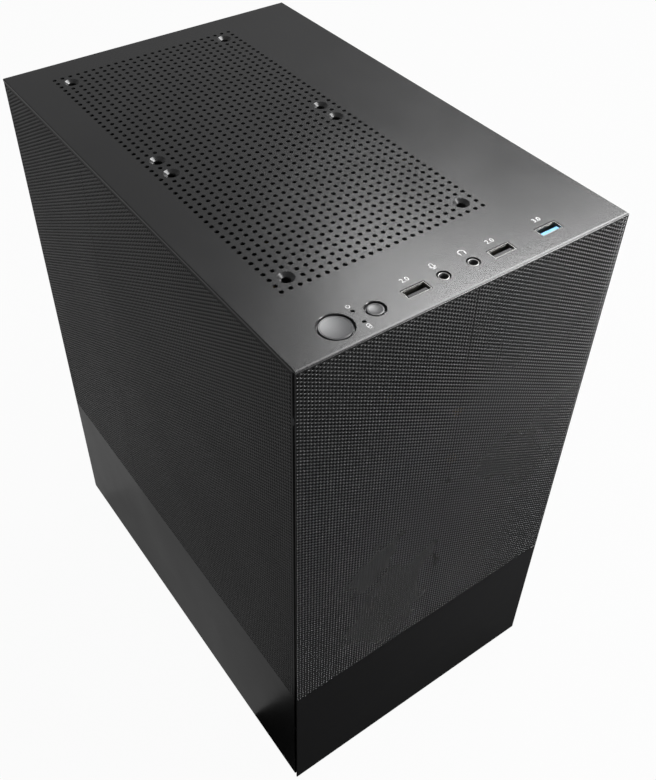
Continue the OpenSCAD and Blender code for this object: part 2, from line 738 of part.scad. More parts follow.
module data_port_1() { port_shell(port_1_x); }
module data_port_1_tongue() { port_tongue(port_1_x, "black"); }
module data_port_2() { port_shell(port_2_x); }
module data_port_2_tongue() { port_tongue(port_2_x, "black"); }
module fast_port() { port_shell(port_3_x); }
module fast_port_tongue() { port_tongue(port_3_x, "dodgerblue"); }

module jack(x) {
    color("silver") translate([x - half_w, io_line + jack_dy, board_up]) difference() {
        union() {
            translate([-4, -4, 0]) cube([8, 8, board_drop - 3]);
            cylinder(d = jack_d, h = board_drop - 0.4);
        }
        translate([0, 0, 1]) cylinder(d = jack_bore, h = board_drop);
    }
}

module mic_jack() { jack(mic_x); }
module headphone_jack() { jack(phone_x); }

// Expansion slot covers, seated on the rear panel's inside with their feet on the outer ledge
module slot_cover(i) {
    x0 = ledge_x - sheet - cover_t;
    color("dimgray") difference() {
        union() {
            box(x0, slot_x1 + 3, rear_in - cover_t, rear_in, slot_z[i] - cover_w / 2, slot_z[i] + cover_w / 2);
            box(x0, x0 + cover_t, rear_in - cover_t, y_rear + 8.5, slot_z[i] - cover_w / 2, slot_z[i] + cover_w / 2);
        }
        translate([0, 0, slot_z[i]]) {
            through_y(rear_in - 3, rear_in + 1) for (k = [0 : 7]) translate([slot_x0 + 10 + 11.4 * k, 0]) slot2d(8.6, 3.4);
            translate([x0 - 1, y_rear + 4.5, 0]) rotate([0, 90, 0]) cylinder(d = screw_d + 0.4, h = cover_t + 2);
        }
    }
}

module slot_cover_1() { slot_cover(0); }
module slot_cover_2() { slot_cover(1); }
module slot_cover_3() { slot_cover(2); }
module slot_cover_4() { slot_cover(3); }

module slot_screws() {
    color("silver") for (z = slot_z) translate([ledge_x - sheet - cover_t, y_rear + 4.5, z]) rotate([0, 90, 0]) screw(6, 2, 6);
}

module slot_guard() {
    x0 = guard_screw_x + 7;
    z0 = slot_z[slot_n - 1] - 12;
    z1 = slot_z[0] + 12;
    ys = rear_in + sheet;
    color("dimgray") difference() {
        union() {
            box(x0, ledge_x, y_rear + rear_reach - sheet, y_rear + rear_reach, z0, z1);
            box(x0, x0 + sheet, ys, y_rear + rear_reach, z0, z1);
            box(guard_screw_x - 7, x0 + sheet, ys, ys + sheet, guard_screw_z - 9, guard_screw_z + 9);
        }
        translate([guard_screw_x, 0, guard_screw_z]) through_y(ys - 1, ys + 2) circle(d = screw_d + 0.2);
    }
}

module guard_thumbscrew() {
    color("silver") translate([guard_screw_x, rear_in + 2 * sheet, guard_screw_z]) rotate([90, 0, 0]) thumbscrew(9, 6, 2 * sheet + 3);
}

// Feet
pad_d = foot_d - 8;
pad_t = 3;

module foot(sx, rear) {
    color("black") translate([sx * foot_x, rear ? y_rear - foot_in : y_front + foot_in, 0]) difference() {
        translate([0, 0, 1.5]) cylinder(d1 = foot_d - 4, d2 = foot_d, h = foot_h - 1.5);
        translate([0, 0, 1]) cylinder(d = pad_d, h = pad_t - 1);
        translate([0, 0, pad_t + 1.5]) cylinder(d = 8, h = foot_h - pad_t - 4.5);
        translate([0, 0, 1]) cylinder(d = screw_d + 0.2, h = foot_h);
    }
}

module foot_front_left() { foot(-1, false); }
module foot_front_right() { foot(1, false); }
module foot_rear_left() { foot(-1, true); }
module foot_rear_right() { foot(1, true); }

module at_feet() {
    for (x = [-foot_x, foot_x], y = [y_front + foot_in, y_rear - foot_in]) translate([x, y, 0]) children();
}

module foot_pads() {
    color("black") at_feet() cylinder(d = pad_d, h = pad_t);
}

module foot_screws() {
    color("silver") at_feet() translate([0, 0, foot_h - 3]) screw(6.5, 2.2, 3 + sheet + 2.5);
}

module psu_pads() {
    color("black") for (x = [-1, 1] * (psu_w / 2 - 15), y = [y_rear - 20, cage_y + cage_w + 2 * sheet + 28]) translate([x, y, z_low])
        linear_extrude(psu_pad) rounded2d(16, 12, 2);
}

// Dust filter that slides out to the rear in its rails
module filter_frame() {
    z = z_floor - slide_gap - filter_t;
    y1 = y_rear - 3;
    color("black") difference() {
        union() {
            box(-filter_w / 2, filter_w / 2, y1 - filter_l + 4, y1, z, z + filter_t);
            translate([0, y1, z]) linear_extrude(filter_t) intersection() {
                circle(d = 60);
                translate([-30, 0]) square([60, 9]);
            }
        }
        for (s = [-1, 1]) translate([s * filter_w / 4, y1 - filter_l / 2, 0]) through_z(z - 1, z + filter_t + 1)
            rounded2d(filter_w / 2 - 9, filter_l - 16, 3);
    }
}

module filter_net() {
    z = z_floor - slide_gap - filter_t / 2;
    y1 = y_rear - 3;
    color("darkslategray") for (s = [-1, 1]) translate([s * filter_w / 4, y1 - filter_l / 2, 0]) difference() {
        through_z(z - 0.3, z + 0.3) rounded2d(filter_w / 2 - 9, filter_l - 16, 3);
        through_z(z - 1, z + 1) for (i = [-3 : 3]) translate([i * 7, 0]) rotate(90) slot2d(filter_l - 26, 4);
    }
}

floor_pan();
front_frame();
rear_panel();
top_panel();
mainboard_tray();
tray_angles();
psu_shroud();
drive_cage();
ssd_bracket();
standoffs();
left_side_panel();
left_panel_studs();
right_side_panel();
right_panel_studs();
ball_catches();
front_panel();
front_panel_frame();
io_housing();
io_board();
power_button();
power_switch();
power_plunger();
reset_button();
reset_switch();
reset_plunger();
power_lamp();
drive_lamp();
data_port_1();
data_port_1_tongue();
data_port_2();
data_port_2_tongue();
fast_port();
fast_port_tongue();
mic_jack();
headphone_jack();
slot_cover_1();
slot_cover_2();
slot_cover_3();
slot_cover_4();
slot_screws();
slot_guard();
guard_thumbscrew();
foot_front_left();
foot_front_right();
foot_rear_left();
foot_rear_right();
foot_pads();
foot_screws();
psu_pads();
filter_frame();
filter_net();
bracket_thumbscrew();
io_screws();
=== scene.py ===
import json
from math import cos, pi, radians, sin, sqrt, tan
import bmesh
import bpy
from mathutils import Matrix, Vector


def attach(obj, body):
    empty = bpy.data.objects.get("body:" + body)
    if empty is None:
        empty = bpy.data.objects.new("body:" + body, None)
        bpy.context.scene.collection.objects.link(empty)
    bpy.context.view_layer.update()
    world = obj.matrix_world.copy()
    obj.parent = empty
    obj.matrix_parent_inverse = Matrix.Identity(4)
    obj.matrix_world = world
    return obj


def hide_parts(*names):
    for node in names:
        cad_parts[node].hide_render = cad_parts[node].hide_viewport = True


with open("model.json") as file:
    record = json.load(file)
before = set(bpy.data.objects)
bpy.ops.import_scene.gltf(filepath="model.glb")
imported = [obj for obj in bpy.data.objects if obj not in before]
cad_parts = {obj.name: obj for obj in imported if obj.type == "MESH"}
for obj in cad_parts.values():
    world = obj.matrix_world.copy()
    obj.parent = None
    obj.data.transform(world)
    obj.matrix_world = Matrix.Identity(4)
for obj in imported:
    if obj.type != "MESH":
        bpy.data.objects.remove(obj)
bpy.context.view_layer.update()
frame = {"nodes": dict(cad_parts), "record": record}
nodes = frame["nodes"]
scene = bpy.context.scene
mm = 0.001
print("frame loaded with", len(nodes), "nodes")

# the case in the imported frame, all in millimetres
case = {"halfWidth": 99.5, "front": -158.75, "rear": 146.75, "floor": 14.0, "top": 390.0, "sheet": 0.8,
        "plainTop": 117.5, "controls": -145.0, "jackLine": -144.2}


# camera fitted to the seven visible corners of the body
view = {"place": (-0.25455, -0.38518, 0.65416), "right": (0.81551913, -0.57862956, 0.01078744),
        "down": (-0.38870961, -0.56146557, -0.73052122), "lens": 43.83, "shiftX": 0.01764, "shiftY": -0.03907}


def placeCamera(spec):
    right, down = Vector(spec["right"]), Vector(spec["down"])
    back = right.cross(-down)
    turn = Matrix((right, -down, back)).transposed()
    data = bpy.data.cameras.new("studioCamera")
    data.sensor_width = 36
    data.lens = spec["lens"]
    data.shift_x = spec["shiftX"]
    data.shift_y = spec["shiftY"]
    data.clip_start = 0.01
    camera = bpy.data.objects.new("studioCamera", data)
    camera.matrix_world = Matrix.Translation(spec["place"]) @ turn.to_4x4()
    scene.collection.objects.link(camera)
    scene.camera = camera


placeCamera(view)


# shader groups that several materials share
def startGroup(name, inputs, outputs):
    tree = bpy.data.node_groups.new(name, "ShaderNodeTree")
    for label, kind, value in inputs:
        socket = tree.interface.new_socket(label, in_out="INPUT", socket_type=kind)
        if value is not None:
            socket.default_value = value
    for label, kind in outputs:
        tree.interface.new_socket(label, in_out="OUTPUT", socket_type=kind)
    return tree, tree.nodes.new("NodeGroupInput"), tree.nodes.new("NodeGroupOutput")


def powderGrain():  # the orange peel and pepper of a powder coat, or the grain of moulded plastic
    tree, inside, out = startGroup("powderGrain", [
        ("Vector", "NodeSocketVector", None), ("Grain", "NodeSocketFloat", 1500.0),
        ("Peel", "NodeSocketFloat", 320.0), ("Pepper", "NodeSocketFloat", 0.5)],
        [("Height", "NodeSocketFloat"), ("Tone", "NodeSocketFloat")])
    fine = tree.nodes.new("ShaderNodeTexNoise")
    fine.inputs["Detail"].default_value = 1.0
    wide = tree.nodes.new("ShaderNodeTexNoise")
    wide.inputs["Detail"].default_value = 0.0
    for node, key in ((fine, "Grain"), (wide, "Peel")):
        tree.links.new(inside.outputs["Vector"], node.inputs["Vector"])
        tree.links.new(inside.outputs[key], node.inputs["Scale"])
    mix = tree.nodes.new("ShaderNodeMix")
    tree.links.new(inside.outputs["Pepper"], mix.inputs["Factor"])
    tree.links.new(wide.outputs["Fac"], mix.inputs["A"])
    tree.links.new(fine.outputs["Fac"], mix.inputs["B"])
    tree.links.new(mix.outputs["Result"], out.inputs["Height"])
    spread = tree.nodes.new("ShaderNodeMapRange")
    spread.inputs["From Min"].default_value = 0.35
    spread.inputs["From Max"].default_value = 0.65
    tree.links.new(fine.outputs["Fac"], spread.inputs["Value"])
    tree.links.new(spread.outputs["Result"], out.inputs["Tone"])
    return tree


def handlingMarks():  # slow clouds of sheen left by hands and cleaning
    tree, inside, out = startGroup("handlingMarks", [
        ("Vector", "NodeSocketVector", None), ("Scale", "NodeSocketFloat", 14.0),
        ("Low", "NodeSocketFloat", 0.4), ("High", "NodeSocketFloat", 0.5)], [("Sheen", "NodeSocketFloat")])
    cloud = tree.nodes.new("ShaderNodeTexNoise")
    cloud.inputs["Detail"].default_value = 3.0
    cloud.inputs["Distortion"].default_value = 0.6
    spread = tree.nodes.new("ShaderNodeMapRange")
    spread.inputs["From Min"].default_value = 0.3
    spread.inputs["From Max"].default_value = 0.7
    tree.links.new(inside.outputs["Vector"], cloud.inputs["Vector"])
    tree.links.new(inside.outputs["Scale"], cloud.inputs["Scale"])
    tree.links.new(cloud.outputs["Fac"], spread.inputs["Value"])
    tree.links.new(inside.outputs["Low"], spread.inputs["To Min"])
    tree.links.new(inside.outputs["High"], spread.inputs["To Max"])
    tree.links.new(spread.outputs["Result"], out.inputs["Sheen"])
    return tree


grainGroup, marksGroup = powderGrain(), handlingMarks()


def useGroup(tree, group, vector, **values):
    node = tree.nodes.new("ShaderNodeGroup")
    node.node_tree = group
    tree.links.new(vector, node.inputs["Vector"])
    for key, value in values.items():
        node.inputs[key].default_value = value
    return node


def finish(name, dark, light, sheen=(0.4, 0.5), grain=1500, peel=320, pepper=0.5, bump=0.2, depth=0.05,
           metallic=0.0, clouds=14.0, coat=0.0, specular=0.5):
    material = bpy.data.materials.new(name)
    material.use_nodes = True
    tree = material.node_tree
    surface = tree.nodes["Principled BSDF"]
    surface.inputs["Metallic"].default_value = metallic
    surface.inputs["Coat Weight"].default_value = coat
    surface.inputs["Specular IOR Level"].default_value = specular
    coords = tree.nodes.new("ShaderNodeTexCoord").outputs["Object"]
    grains = useGroup(tree, grainGroup, coords, Grain=grain, Peel=peel, Pepper=pepper)
    marks = useGroup(tree, marksGroup, coords, Scale=clouds, Low=sheen[0], High=sheen[1])
    tint = tree.nodes.new("ShaderNodeMix")
    tint.data_type = "RGBA"
    tint.inputs[6].default_value = (*dark, 1)
    tint.inputs[7].default_value = (*light, 1)
    tree.links.new(grains.outputs["Tone"], tint.inputs["Factor"])
    tree.links.new(tint.outputs[2], surface.inputs["Base Color"])
    tree.links.new(marks.outputs["Sheen"], surface.inputs["Roughness"])
    relief = tree.nodes.new("ShaderNodeBump")
    relief.inputs["Strength"].default_value = bump
    relief.inputs["Distance"].default_value = depth * mm
    tree.links.new(grains.outputs["Height"], relief.inputs["Height"])
    tree.links.new(relief.outputs["Normal"], surface.inputs["Normal"])
    return material


finishes = {
    "black_steel": finish("blackPowderCoat", (0.006, 0.006, 0.0063), (0.012, 0.012, 0.0123), (0.3, 0.36),
                          1700, 420, 0.55, 0.5, 0.06),
    "black_plastic": finish("grainedBlackPlastic", (0.012, 0.012, 0.013), (0.02, 0.02, 0.021), (0.5, 0.6), 2600, 900),
    "button_plastic": finish("satinButton", (0.05, 0.05, 0.052), (0.066, 0.066, 0.068), (0.3, 0.36), 3000, 900, bump=0.1),
    "white_plastic": finish("whitePlunger", (0.72, 0.72, 0.7), (0.8, 0.8, 0.78), (0.35, 0.45), 3000, 700, bump=0.1),
    "blue_plastic": finish("bluePortPlastic", (0.08, 0.32, 0.6), (0.11, 0.38, 0.68), (0.28, 0.36), 3200, 800, bump=0.1),
    "lamp_plastic": finish("smokedLens", (0.012, 0.012, 0.013), (0.016, 0.016, 0.017), (0.1, 0.14), 3000, 700, bump=0.02,
                           coat=0.5),
    "circuit_board": finish("solderMask", (0.006, 0.05, 0.02), (0.01, 0.07, 0.03), (0.25, 0.35), 1800, 300, bump=0.1),
    "nickel": finish("nickelPlate", (0.22, 0.22, 0.215), (0.3, 0.3, 0.29), (0.3, 0.4), 2400, 500, 0.4, 0.15, metallic=1),
    "zinc_steel": finish("zincPlate", (0.45, 0.46, 0.48), (0.6, 0.61, 0.62), (0.3, 0.42), 1400, 260, 0.4, 0.2, metallic=1),
    "thumbscrew": finish("blackZinc", (0.02, 0.02, 0.021), (0.035, 0.035, 0.036), (0.3, 0.4), 2200, 500, metallic=0.6),
    "brass": finish("turnedBrass", (0.52, 0.36, 0.14), (0.66, 0.48, 0.2), (0.25, 0.35), 2000, 300, metallic=1),
    "rubber": finish("footRubber", (0.012, 0.012, 0.012), (0.022, 0.022, 0.022), (0.7, 0.82), 1300, 260, 0.6, 0.4, 0.1),
}
# painted shade: a darker, less reflective copy of the black powder coat, for the front cover's plain part and border
shadedCoverCoat = finish("shadedCoverPowderCoat", (0.005, 0.005, 0.0053), (0.01, 0.01, 0.0103), (0.3, 0.36), 1700, 420, 0.55, 0.5,
                   0.06, specular=0.3)
# painted light: a slightly lighter copy of the black powder coat, for the front cover's mesh only
litMeshCoat = finish("litMeshPowderCoat", (0.006, 0.006, 0.0063), (0.013, 0.013, 0.0133), (0.26, 0.32), 1700, 420, 0.55, 0.4,
                  0.05, specular=0.5)
# painted light: a lighter copy of the black powder coat, for the top panel only
litTopCoat = finish("litTopPowderCoat", (0.007, 0.007, 0.0073), (0.014, 0.014, 0.0143), (0.22, 0.27), 1700, 420, 0.55, 0.5, 0.06)
print("finishes made:", len(finishes))


# pieces
def finishPiece(name, bm, body, slot, replaced=(), smooth=False, material=None):
    mesh = bpy.data.meshes.new(name)
    for face in bm.faces:
        face.smooth = smooth
    bm.to_mesh(mesh)
    bm.free()
    piece = bpy.data.objects.new(name, mesh)
    scene.collection.objects.link(piece)
    mesh.materials.append(material or finishes[slot])
    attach(piece, body)
    if replaced:
        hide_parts(*replaced)
    return piece


def keepSharp(piece, angle=35):
    piece.data.set_sharp_from_angle(angle=radians(angle))


def outlineLoop(bm, points):
    verts = [bm.verts.new((x * mm, 0, z * mm)) for x, z in points]
    return [bm.edges.new(pair) for pair in zip(verts, verts[1:])]


def spunSolid(points, centre, steps=64):  # points are radius and height
    bm = bmesh.new()
    edges = outlineLoop(bm, points)
    geom = list(bm.verts) + edges
    bmesh.ops.spin(bm, geom=geom, cent=(0, 0, 0), axis=(0, 0, 1), angle=2 * pi, steps=steps, use_merge=True)
    bmesh.ops.remove_doubles(bm, verts=bm.verts, dist=1e-6)
    bmesh.ops.recalc_face_normals(bm, faces=bm.faces)
    bmesh.ops.translate(bm, verts=bm.verts, vec=Vector(centre) * mm)
    return bm


def slab(bm, low, high):  # a box between two corners in millimetres
    low, high = Vector(low) * mm, Vector(high) * mm
    made = bmesh.ops.create_cube(bm, size=1)["verts"]
    bmesh.ops.scale(bm, vec=high - low, verts=made)
    bmesh.ops.translate(bm, vec=(low + high) / 2, verts=made)
    return made


def roundEdges(bm, edges, width, segments=2):
    bmesh.ops.bevel(bm, geom=edges, offset=width * mm, offset_type="OFFSET", segments=segments, profile=0.5,
                    affect="EDGES", material=-1)


# the fine mesh: one lattice of hexagonal holes, cut at its corners from a triangulated grid
weave = {"pitch": 2.23, "holeRadius": 0.84, "wall": 0.62, "edge": 0.9}
facing = {"front": Matrix(((1, 0, 0), (0, 0, -1), (0, 1, 0))), "left": Matrix(((0, 0, -1), (-1, 0, 0), (0, 1, 0)))}


def meshField(across, up, side, plane):  # the holes run on to the field's edges and are cut there, as in sheet sold by the metre
    step = weave["pitch"] * sqrt(3) / 2
    width, height = across[1] - across[0], up[1] - up[0]
    cols, rows = int(width / step) + 3, int(height / weave["pitch"]) + 3
    startX = across[0] + (width - (cols - 1) * step) / 2
    startZ = up[1] - weave["edge"] - (rows - 2) * weave["pitch"]
    bm = bmesh.new()
    bmesh.ops.create_grid(bm, x_segments=cols + 1, y_segments=rows + 1, size=0.5)
    holes = []
    for vert in bm.verts:
        i = round((vert.co.x + 0.5) * (cols + 1))
        j = round((vert.co.y + 0.5) * (rows + 1))
        if 0 < i <= cols and 0 < j <= rows:
            holes.append(vert)
        vert.co = Vector((startX + (i - 1) * step, startZ + (j - 1 + 0.5 * (i % 2)) * weave["pitch"], 0)) * mm
    bmesh.ops.triangulate(bm, faces=bm.faces, quad_method="SHORT_EDGE")
    cut = bmesh.ops.bevel(bm, geom=holes, offset=weave["holeRadius"] * mm, offset_type="OFFSET", segments=1,
                          profile=0.5, affect="VERTICES", material=-1)
    bmesh.ops.delete(bm, geom=cut["faces"], context="FACES_ONLY")
    rims = [e for e in bm.edges if len(e.link_faces) == 1]
    walls = bmesh.ops.extrude_edge_only(bm, edges=rims)["geom"]
    bmesh.ops.translate(bm, vec=(0, 0, -weave["wall"] * mm), verts=[v for v in walls if isinstance(v, bmesh.types.BMVert)])
    for point, normal in (((across[0], 0, 0), (-1, 0, 0)), ((across[1], 0, 0), (1, 0, 0)),
                          ((0, up[0], 0), (0, -1, 0)), ((0, up[1], 0), (0, 1, 0))):
        bmesh.ops.bisect_plane(bm, geom=list(bm.verts) + list(bm.edges) + list(bm.faces), plane_co=Vector(point) * mm,
                               plane_no=normal, clear_outer=True)
    bmesh.ops.transform(bm, matrix=facing[side].to_4x4(), verts=bm.verts)
    bmesh.ops.translate(bm, vec=Vector(plane) * mm, verts=bm.verts)
    return bm


def splitField(bm, axis, cuts):  # the sheet in two or three pieces, each one light enough
    parts = []
    for low, high in zip(cuts, cuts[1:]):
        part = bm.copy()
        away = [f for f in part.faces if not low <= f.calc_center_median()[axis] / mm < high]
        bmesh.ops.delete(part, geom=away, context="FACES")
        parts.append(part)
    bm.free()
    return parts


def panelSkin(across, up, fieldUp, margin, side, plane, depth, fold, round=0.4):
    # the border and the plain part of a sheet, its folded edges, and no face where the mesh goes
    bm = bmesh.new()
    corner = [(across[0], up[0]), (across[1], up[0]), (across[1], up[1]), (across[0], up[1])]
    bm.faces.new([bm.verts.new((x * mm, z * mm, 0)) for x, z in corner])
    if fieldUp:
        bmesh.ops.bisect_plane(bm, geom=list(bm.verts) + list(bm.edges) + list(bm.faces), plane_co=(0, fieldUp * mm, 0),
                               plane_no=(0, 1, 0))
        upper = [f for f in bm.faces if f.calc_center_median().y > fieldUp * mm]
        bmesh.ops.inset_individual(bm, faces=upper, thickness=margin * mm)
        bmesh.ops.delete(bm, geom=upper, context="FACES")
    outer = [e for e in bm.edges if len(e.link_faces) == 1 and not (fieldUp and all(
        across[0] * mm < v.co.x < across[1] * mm for v in e.verts))]
    rim = bmesh.ops.extrude_edge_only(bm, edges=outer)["geom"]
    bmesh.ops.translate(bm, vec=(0, 0, -depth * mm), verts=[v for v in rim if isinstance(v, bmesh.types.BMVert)])
    if fold:
        edges = [e for e in rim if isinstance(e, bmesh.types.BMEdge)]
        lip = bmesh.ops.extrude_edge_only(bm, edges=edges)["geom"]
        middle = Vector(((across[0] + across[1]) / 2, (up[0] + up[1]) / 2)) * mm
        for vert in [v for v in lip if isinstance(v, bmesh.types.BMVert)]:
            vert.co.x += fold[0] * mm * (1 if vert.co.x < middle.x else -1)
            vert.co.y += fold[1] * mm * (1 if vert.co.y < middle.y else -1)
    bmesh.ops.recalc_face_normals(bm, faces=bm.faces)
    if round:
        bends = [e for e in bm.edges if len(e.link_faces) == 2 and e.calc_face_angle(0) > 0.5
                 and all(abs(v.co.z) < 1e-6 for v in e.verts)]
        roundEdges(bm, bends, round, 3)
    bmesh.ops.transform(bm, matrix=facing[side].to_4x4(), verts=bm.verts)
    bmesh.ops.translate(bm, vec=Vector(plane) * mm, verts=bm.verts)
    return bm


# front cover: a fine mesh over the whole width, plain below
frontCover = {"across": (-99.5, 99.5), "up": (14.0, 389.0), "margin": 0.5, "fold": 0.8}


def buildFrontCover(spec):
    plane = (0, case["front"], 0)
    skin = panelSkin(spec["across"], spec["up"], case["plainTop"], spec["margin"], "front", plane, spec["fold"],
                     None, 0.25)
    keepSharp(finishPiece("front_skin", skin, "front_cover", "black_steel", ["front_panel"], True, shadedCoverCoat))
    inner = (spec["across"][0] + spec["margin"], spec["across"][1] - spec["margin"])
    field = meshField(inner, (case["plainTop"] + spec["margin"], spec["up"][1] - spec["margin"]), "front", plane)
    for name, part in zip(("front_mesh_left", "front_mesh_right"), splitField(field, 0, (-200, 0, 200))):
        finishPiece(name, part, "front_cover", "black_steel", ["front_panel"], True, litMeshCoat)


buildFrontCover(frontCover)
print("front cover built")


# side panels: folded pans, the left one with the same mesh
sidePanel = {"rear": 146.75, "front": -156.15, "up": (15.0, 388.0), "depth": 6.0, "fold": (15.2, 8.0), "margin": 1.2}


def buildSidePanel(spec, name, body, node, meshed):
    across = (-spec["rear"], -spec["front"])  # the left face is drawn with y running backwards
    plane = (-case["halfWidth"], 0, 0)
    skin = panelSkin(across, spec["up"], case["plainTop"] if meshed else None, spec["margin"], "left", plane,
                     spec["depth"], spec["fold"], 0.6)
    if not meshed:
        bmesh.ops.scale(skin, vec=(-1, 1, 1), verts=skin.verts)
        bmesh.ops.reverse_faces(skin, faces=skin.faces)
    keepSharp(finishPiece(name + "_skin", skin, body, "black_steel", [node], True))
    if meshed:
        inner = (across[0] + spec["margin"], across[1] - spec["margin"])
        up = (case["plainTop"] + spec["margin"], spec["up"][1] - spec["margin"])
        field = meshField(inner, up, "left", plane)
        parts = splitField(field, 1, (-200, -56, 45, 200))
        for end, part in zip(("front", "middle", "rear"), parts):
            finishPiece(name + "_mesh_" + end, part, body, "black_steel", [node], True)


buildSidePanel(sidePanel, "left_panel", "left_panel", "left_side_panel", True)
buildSidePanel(sidePanel, "right_panel", "right_panel", "right_side_panel", False)
print("side panels built")


# the two buttons, each a dished cap with a thin raised rim
buttons = {
    "power": {"x": -69.5, "radius": 7.7, "collar": 9.3, "rim": 0.75, "dish": 0.5, "node": "power_button",
              "body": "power_key"},
    "reset": {"x": -48.2, "radius": 4.1, "collar": 5.9, "rim": 0.95, "dish": 0.35, "node": "reset_button",
              "body": "reset_key"}}


def buildButton(name, spec):
    top, under, r = case["top"] - 0.3, case["top"] - 0.8, spec["radius"]
    rim, dish = spec["rim"], spec["dish"]
    inner = r - rim
    profile = [(0, top - dish), (inner * 0.3, top - dish + 0.03), (inner * 0.55, top - dish * 0.75),
               (inner * 0.8, top - dish * 0.45), (inner * 0.95, top - dish * 0.2), (inner, top - 0.05),
               (inner + 0.08, top - 0.18), (inner + 0.16, top - 0.18), (inner + 0.24, top - 0.03),
               (r - 0.22, top), (r - 0.08, top - 0.1), (r, top - 0.3), (r, under - 1.0),
               (spec["collar"], under - 1.0), (spec["collar"], under - 2.2), (0, under - 2.2)]
    bm = spunSolid(profile, (spec["x"], case["controls"], 0), 72)
    keepSharp(finishPiece(name + "_cap", bm, spec["body"], "button_plastic", [spec["node"]], True), 40)


for name, spec in buttons.items():
    buildButton(name, spec)
print("buttons built")


# lamp lenses, dark while the machine is off
lamps = {"power_lens": {"y": 4.2, "node": "power_lamp"}, "drive_lens": {"y": -4.2, "node": "drive_lamp"}}


def buildLens(name, spec):
    top = case["top"] - 0.65
    profile = [(0, top), (0.4, top - 0.07), (0.72, top - 0.3), (0.9, top - 0.7), (0.95, top - 1.2), (0.95, 377.6),
               (0, 377.6)]
    bm = spunSolid(profile, (-57.4, case["controls"] + spec["y"], 0), 24)
    finishPiece(name, bm, "chassis", "lamp_plastic", [spec["node"]], True)


for name, spec in lamps.items():
    buildLens(name, spec)


# the two jacks, plated rings round a dark bore
jacks = {"mic_ring": {"x": -8.4, "node": "mic_jack"}, "headphone_ring": {"x": 9.6, "node": "headphone_jack"}}


def buildJack(name, spec):
    top = case["top"] - 0.4
    profile = [(2.25, 377.6), (2.25, top - 0.12), (2.32, top - 0.02), (2.5, top), (2.7, top - 0.06),
               (2.85, top - 0.25), (2.9, top - 0.6), (2.9, 377.6)]
    ring = spunSolid(profile, (spec["x"], case["jackLine"], 0), 48)
    finishPiece(name, ring, "chassis", "nickel", [spec["node"]], True)
    lining = spunSolid([(0, 377.8), (1.78, 377.8), (1.78, top - 1.3), (2.0, top - 0.5), (2.24, top - 0.2)], (spec["x"], case["jackLine"], 0), 32)
    finishPiece(name.replace("ring", "bore"), lining, "chassis", "black_plastic", (), True)


for name, spec in jacks.items():
    buildJack(name, spec)
print("lamps and jacks built")


# gold contacts on the tongues of the data ports
ports = {"x": (-25.2, 26.6, 57.4), "names": ("data_port_1", "data_port_2", "fast_port"), "pitch": 2.3, "contact": 1.1,
         "tongueBack": -145.0 - 2.95 + 0.35 + 0.55 + 1.9, "top": 388.0}
gold = finish("contactGold", (0.5, 0.32, 0.1), (0.62, 0.42, 0.15), (0.2, 0.3), 3000, 700, metallic=1)


def buildContacts(spec):
    for x, name in zip(spec["x"], spec["names"]):
        bm = bmesh.new()
        for i in (-1.5, -0.5, 0.5, 1.5):
            mid = x + i * spec["pitch"]
            slab(bm, (mid - spec["contact"] / 2, spec["tongueBack"] - 0.02, 380.5),
                 (mid + spec["contact"] / 2, spec["tongueBack"] + 0.12, spec["top"] + 0.7))
        finishPiece(name + "_contacts", bm, "chassis", "brass", (), False, gold)


def buildLips(spec):  # the shell's bright edge, and the tongue's tip inside it
    for x, name in zip(spec["x"], spec["names"]):
        bm = bmesh.new()
        slab(bm, (x - 6.6, case["controls"] - 2.95, 388.2), (x + 6.6, case["controls"] + 2.95, 389.75))
        ends = [f for f in bm.faces if abs(f.normal.z) > 0.9]
        bmesh.ops.inset_individual(bm, faces=ends, thickness=0.28 * mm)
        bmesh.ops.bridge_loops(bm, edges=[e for f in ends for e in f.edges])
        bmesh.ops.delete(bm, geom=ends, context="FACES_ONLY")
        bmesh.ops.recalc_face_normals(bm, faces=bm.faces)
        finishPiece(name + "_lip", bm, "chassis", "nickel")
        bm = bmesh.new()
        front = spec["tongueBack"] - 1.9
        slab(bm, (x - 5.55, front, 387.8), (x + 5.55, spec["tongueBack"], 389.1))
        roundEdges(bm, [e for e in bm.edges if all(v.co.z > 389 * mm for v in e.verts)], 0.25)
        finishPiece(name + "_tip", bm, "chassis", "blue_plastic" if name == "fast_port" else "black_plastic")


buildContacts(ports)
buildLips(ports)
print("port contacts built")


# printed marks: plain numbers over the ports, and the usual small signs
prints = {"height": 0.03, "digit": 2.9, "digitY": -136.4}
ink = finish("whiteInk", (0.55, 0.55, 0.55), (0.72, 0.72, 0.72), (0.5, 0.6), 4000, 900, bump=0.1)


def flatMark(name, mesh):
    mesh.materials.clear()
    piece = bpy.data.objects.new(name, mesh)
    scene.collection.objects.link(piece)
    mesh.materials.append(ink)
    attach(piece, "chassis")


def printNumber(name, text, x):
    curve = bpy.data.curves.new(name, "FONT")
    curve.body = text
    curve.size = prints["digit"] * 1.35 * mm
    curve.align_x = "CENTER"
    curve.extrude = prints["height"] / 2 * mm
    curve.resolution_u = 4
    holder = bpy.data.objects.new(name + "_curve", curve)
    scene.collection.objects.link(holder)
    mesh = bpy.data.meshes.new_from_object(holder.evaluated_get(bpy.context.evaluated_depsgraph_get()))
    bpy.data.objects.remove(holder)
    bpy.data.curves.remove(curve)
    mesh.transform(Matrix.Translation(Vector((x, prints["digitY"] - prints["digit"] / 2,
                                              case["top"] + prints["height"] / 2)) * mm))
    flatMark(name, mesh)


for name, text, x in (("number_1", "2.0", -25.2), ("number_2", "2.0", 26.6), ("number_3", "3.0", 57.4)):
    printNumber(name, text, x)


